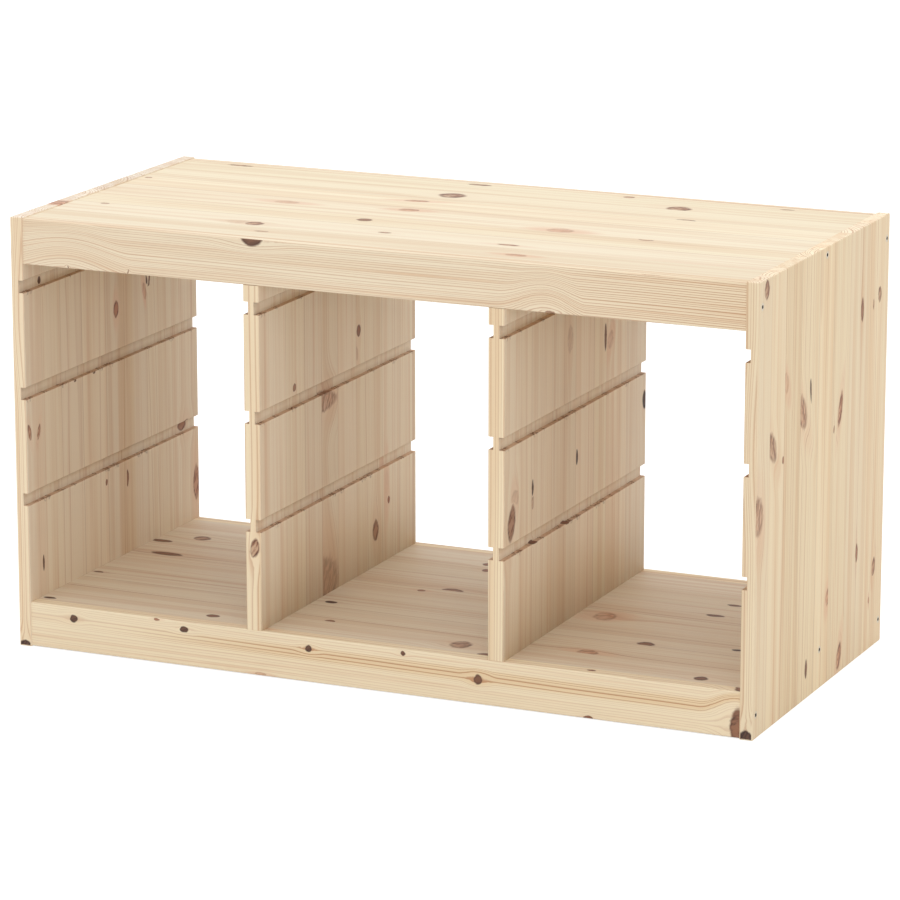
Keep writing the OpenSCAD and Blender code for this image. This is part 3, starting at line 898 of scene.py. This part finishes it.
def make_screw_tree():
    """Countersunk wood screws: a head with a hexagon socket, a plain neck and a rolled thread."""
    given = open_tree("countersunk_screws", {
        "Face": 0.0, "Reach": 0.0, "Rail": 0.0, "Board": 0.0, "Count": 3, "Length": 50 * MM,
        "Turn": (0, 0, 0), "Material": None}, "GeometryNodeTree")
    tree = home(given.values())
    tip = -given["Length"]
    point = tip + POINT_LENGTH
    neck = given["Length"] * -NECK_SHARE
    blank = turned(tree, [
        (TIP_RADIUS, tip), (CORE_RADIUS, point), (CORE_RADIUS, neck), (NECK_RADIUS, neck),
        (SHANK_RADIUS, -HEAD_DEPTH), (HEAD_RADIUS, -HEAD_RIM), (HEAD_RADIUS, -HEAD_ARRIS),
        (HEAD_RADIUS - HEAD_ARRIS, 0.0)], PIN_SIDES)
    key = turned(tree, [(KEY_RADIUS, -KEY_DEPTH), (KEY_RADIUS, CUTTER_SPARE)], sides=6)
    blank = cut_out(blank, [key])
    x, y, z = split(position(tree))
    deep = (z < -PLAY) * (z > -KEY_DEPTH - PLAY)
    in_socket = deep * (length(unite(x, y, 0.0)) < KEY_RADIUS + PLAY)
    blank = marked(blank, "socket", in_socket, "FACE")
    threaded = neck - point
    helix = wire("GeometryNodeCurveSpiral", {
        "Resolution": 16, "Rotations": threaded / THREAD_PITCH, "Start Radius": CORE_RADIUS,
        "End Radius": CORE_RADIUS, "Height": threaded})
    ridge = {"Resolution": 3, "Radius": RIDGE_RADIUS}
    ridge = wire("GeometryNodeCurvePrimitiveCircle", ridge, tree=tree)
    thread = wire("GeometryNodeCurveToMesh", {
        "Curve": helix, "Profile Curve": ridge, "Fill Caps": True})
    thread = wire("GeometryNodeTransform", {
        "Geometry": thread, "Translation": unite(0.0, 0.0, point)})
    screw = put(tree, "GeometryNodeJoinGeometry", {0: blank})
    join(thread, screw.inputs[0])
    face, reach, rail = given["Face"], given["Reach"], given["Rail"]
    places = [(face, -reach, rail), (face, reach, rail), (face, 0.0, given["Board"])]
    screws = points_at(tree, places, given["Count"])
    screws = fix_at(screws, Wire(screw.outputs[0]), given["Turn"])
    spin = unite(0.0, 0.0, number(tree) * SPIN)
    screws = wire("GeometryNodeRotateInstances", {"Instances": screws, "Rotation": spin})
    return close_shape(screws, given["Material"])


TIP_RADIUS = 0.2 * MM
POINT_LENGTH = 6 * MM
CORE_RADIUS = 1.7 * MM
THREAD_PITCH = 2.4 * MM
RIDGE_RADIUS = 0.8 * MM
NECK_RADIUS = 2.4 * MM
NECK_SHARE = 0.4
HEAD_ARRIS = 0.1 * MM
PIN_SIDES = 48
SPIN = 0.4
KEY_RADIUS = 4 * MM / math.sqrt(3)
KEY_DEPTH = 2.4 * MM
SIDE_SCREW = 50 * MM
zinc_plate = zinc()
screw_tree = make_screw_tree()
for side, way in (("left", -1), ("right", 1)):
    for level in ("Upper", "Lower"):
        row = side + "_" + level.lower()
        make_piece(row + "_wood_screws", screw_tree, row + "_screws", {
            "Face": way * panel_high.x, "Reach": fixings["Rail Reach"], "Count": 3,
            "Length": SIDE_SCREW, "Rail": fixings[level + " Rail"],
            "Board": fixings[level + " Board"], "Turn": (0, way * QUARTER_TURN, 0),
            "Material": zinc_plate})
    low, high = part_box(side + "_divider")
    make_piece(side + "_divider_wood_screws", screw_tree, side + "_divider_screws", {
        "Face": (low.x + high.x) / 2, "Reach": fixings["Screw Reach"], "Count": 2,
        "Length": DIVIDER_SCREW, "Rail": bottom_low.z, "Board": bottom_low.z,
        "Turn": (2 * QUARTER_TURN, 0, 0), "Material": zinc_plate})


# Dowels: fluted beech pins with chamfered ends, beside the screws. They are glued into one board
# and pushed into the other, so that no board can turn on its screws.

def beech():
    """Beech with its short dark rays."""
    material, tree = open_material("beech_pin")
    fleck = noise(on_object(tree), detail=2.0, scale=1400.0)
    close_material("ShaderNodeBsdfPrincipled", {
        "Base Color": tint(ease(fleck, 0.5, 0.7), paint(214, 176, 138), paint(170, 126, 92)),
        "Roughness": fleck * 0.2 + 0.5})
    return material


def make_dowel_tree():
    """Fluted dowels with chamfered ends, in pairs: one pair in the board, and one in each rail."""
    given = open_tree("fluted_dowels", {
        "Face": 0.0, "Board Reach": 0.0, "Board": 0.0, "Rail Reach": 0.0, "Rail": 0.0,
        "Pair Offset": 0.0, "Count": 6, "Turn": (0, 0, 0), "Material": None}, "GeometryNodeTree")
    tree = home(given.values())
    top = DOWEL_LENGTH - DOWEL_SET
    chamfer = 1 * MM
    pin = turned(tree, [
        (DOWEL_RADIUS - chamfer, -DOWEL_SET), (DOWEL_RADIUS, chamfer - DOWEL_SET),
        (DOWEL_RADIUS, top - chamfer), (DOWEL_RADIUS - chamfer, top)], PIN_SIDES)
    flutes = 24
    flute_depth = 0.03
    point = position(tree)
    x, y, _ = split(point)
    share = calc("COSINE", calc("ARCTAN2", y, x) * flutes) * flute_depth + (1 - flute_depth)
    pin = moved(pin, vector("MULTIPLY", point, unite(share, share, 1.0)))
    face, rail, pair = given["Face"], given["Rail"], given["Pair Offset"]
    rows = [(given["Board Reach"], given["Board"]), (given["Rail Reach"], rail - pair),
            (given["Rail Reach"], rail + pair)]
    places = [(face, way, height) for reach, height in rows for way in (-reach, reach)]
    dowels = fix_at(points_at(tree, places, given["Count"]), pin, given["Turn"])
    return close_shape(dowels, given["Material"])


dowel_tree = make_dowel_tree()
dowel_sizes = {**fixings, "Material": beech()}
for side, way in (("left", -1), ("right", 1)):
    for level in ("Upper", "Lower"):
        row = side + "_" + level.lower()
        make_piece(row + "_beech_dowels", dowel_tree, row + "_dowels", {
            **dowel_sizes, "Face": way * panel_low.x, "Rail": fixings[level + " Rail"],
            "Board": fixings[level + " Board"], "Count": 6, "Turn": (0, -way * QUARTER_TURN, 0)})
    low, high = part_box(side + "_divider")
    for end, joint, turn in (("foot", low.z, 0), ("top", high.z, 2 * QUARTER_TURN)):
        row = side + "_divider_" + end
        make_piece(row + "_beech_dowels", dowel_tree, row + "_dowels", {
            **dowel_sizes, "Face": (low.x + high.x) / 2, "Rail": 0.0, "Board": joint, "Count": 2,
            "Turn": (turn, 0, 0)})


# Studio: a white floor and sky, one large soft lamp above and one in front, and a long lens that
# looks down on the right front corner.

def seen_straight(tree):
    """One where the camera sees a thing itself, and not by its light on another."""
    path = put(tree, "ShaderNodeLightPath", {}).outputs
    return calc("MAXIMUM", Wire(path["Is Camera Ray"]), Wire(path["Is Transmission Ray"]))


floor_paper, tree = open_material("studio_floor")
paper = wire("ShaderNodeBsdfDiffuse", {"Color": (0.8, 0.8, 0.8, 1)}, tree=tree)
shaded = wire("ShaderNodeBsdfDiffuse", {"Color": (0.55, 0.55, 0.55, 1)}, tree=tree)
lift = wire("ShaderNodeEmission", {"Color": (1, 1, 1, 1), "Strength": 0.7}, tree=tree)
white = wire("ShaderNodeAddShader", {0: shaded, 1: lift})
close_material("ShaderNodeMixShader", {0: seen_straight(tree), 1: paper, 2: white})
FLOOR_REACH = 12.0
around = ((-1, -1), (1, -1), (1, 1), (-1, 1))
corners = [(x * FLOOR_REACH, y * FLOOR_REACH, 0) for x, y in around]
floor_mesh = bpy.data.meshes.new("studio_floor")
floor_mesh.from_pydata(corners, [], [(0, 1, 2, 3)])
floor_mesh.materials.append(floor_paper)
floor = bpy.data.objects.new("studio_floor", floor_mesh)
studio.collection.objects.link(floor)

world = bpy.data.worlds.new("studio_sky")
world.use_nodes = True
studio.world = world
sky = world.node_tree
sky.nodes.clear()
glow = seen_straight(sky) * 0.05 + 0.95
backdrop = wire("ShaderNodeBackground", {"Color": (1, 1, 1, 1), "Strength": glow})
put(sky, "ShaderNodeOutputWorld", {"Surface": backdrop})


def soft_lamp(name, place, aim, size, power):
    """A square soft box that points at one place."""
    lamp = bpy.data.lights.new(name, "AREA")
    lamp.shape = "SQUARE"
    lamp.size = size
    lamp.energy = power
    holder = bpy.data.objects.new(name, lamp)
    holder.location = place
    holder.rotation_euler = (Vector(aim) - Vector(place)).to_track_quat("-Z", "Y").to_euler()
    studio.collection.objects.link(holder)


soft_lamp("top_soft_box", (-0.4, 0.3, 4.5), aim=(0, 0, 0.2), size=3.0, power=30.0)
soft_lamp("front_soft_box", (3.2, -5.2, 1.6), aim=(0, 0, 0.25), size=2.0, power=30.0)

PHOTO_PLACE = (2.092, -4.690, 1.508)
PHOTO_PITCH = 13.901
PHOTO_YAW = 24.051
PHOTO_LENS = 178.85
camera = bpy.data.cameras.new("photo_camera")
camera.sensor_width = 36.0
camera.lens = PHOTO_LENS
camera.clip_end = 60.0
eye = bpy.data.objects.new("photo_camera", camera)
eye.location = PHOTO_PLACE
eye.rotation_euler = (math.radians(90 - PHOTO_PITCH), 0, math.radians(PHOTO_YAW))
studio.collection.objects.link(eye)
studio.camera = eye
studio.view_settings.view_transform = "Standard"
